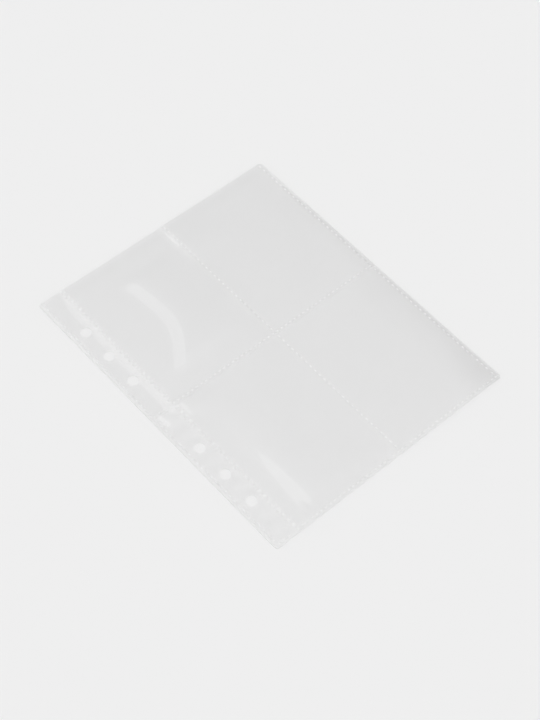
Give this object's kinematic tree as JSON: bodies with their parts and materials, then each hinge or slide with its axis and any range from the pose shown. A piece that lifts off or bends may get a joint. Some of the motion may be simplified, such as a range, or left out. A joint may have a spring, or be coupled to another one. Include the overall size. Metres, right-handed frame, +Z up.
{
  "type": "sheet protector",
  "caption": "Clear film pocket page for a ring binder: a grid of welded card pockets with open mouths, and a punched binding strip that the page folds from.",
  "frame": {"origin": "middle of the page's underside, on the table", "axes": "+X from the hole edge to the fore edge, +Y up the page towards the open mouths, +Z up out of the pocket fronts"},
  "size_m": [0.15, 0.183, 0.0004],
  "materials": {
    "clear_film": "smooth clear polypropylene film",
    "heat_weld": "fused film, dimpled by the welding bar"
  },
  "bodies": {
    "binding_strip": {"back_strip": "clear_film", "upper_strip_front": "clear_film", "lower_strip_front": "clear_film", "hole_edge_weld": "heat_weld", "strip_middle_weld": "heat_weld", "strip_bottom_weld": "heat_weld"},
    "page": {"back_panel": "clear_film", "upper_front_hem": "clear_film", "lower_front_hem": "clear_film", "binding_weld": "heat_weld", "divider_weld": "heat_weld", "fore_edge_weld": "heat_weld", "middle_weld": "heat_weld", "bottom_weld": "heat_weld"},
    "upper_left_front": {"upper_left_pocket_front": "clear_film"},
    "upper_right_front": {"upper_right_pocket_front": "clear_film"},
    "lower_left_front": {"lower_left_pocket_front": "clear_film"},
    "lower_right_front": {"lower_right_pocket_front": "clear_film"}
  },
  "joints": [
    {"name": "page_fold", "type": "hinge", "parent": "binding_strip", "child": "page", "pos_m": [-0.063, 0, 0.00022], "axis": [0, -1, 0], "range_deg": [0, 90]},
    {"name": "upper_left_mouth", "type": "hinge", "parent": "page", "child": "upper_left_front", "pos_m": [-0.02697, 0.0026, 0.0003], "axis": [1, 0, 0], "range_deg": [0, 6], "stiffness_Nm_per_rad": 0.002},
    {"name": "upper_right_mouth", "type": "hinge", "parent": "page", "child": "upper_right_front", "pos_m": [0.03945, 0.0026, 0.0003], "axis": [1, 0, 0], "range_deg": [0, 6], "stiffness_Nm_per_rad": 0.002},
    {"name": "lower_left_mouth", "type": "hinge", "parent": "page", "child": "lower_left_front", "pos_m": [-0.02697, -0.0886, 0.0003], "axis": [1, 0, 0], "range_deg": [0, 6], "stiffness_Nm_per_rad": 0.002},
    {"name": "lower_right_mouth", "type": "hinge", "parent": "page", "child": "lower_right_front", "pos_m": [0.03945, -0.0886, 0.0003], "axis": [1, 0, 0], "range_deg": [0, 6], "stiffness_Nm_per_rad": 0.002}
  ]
}
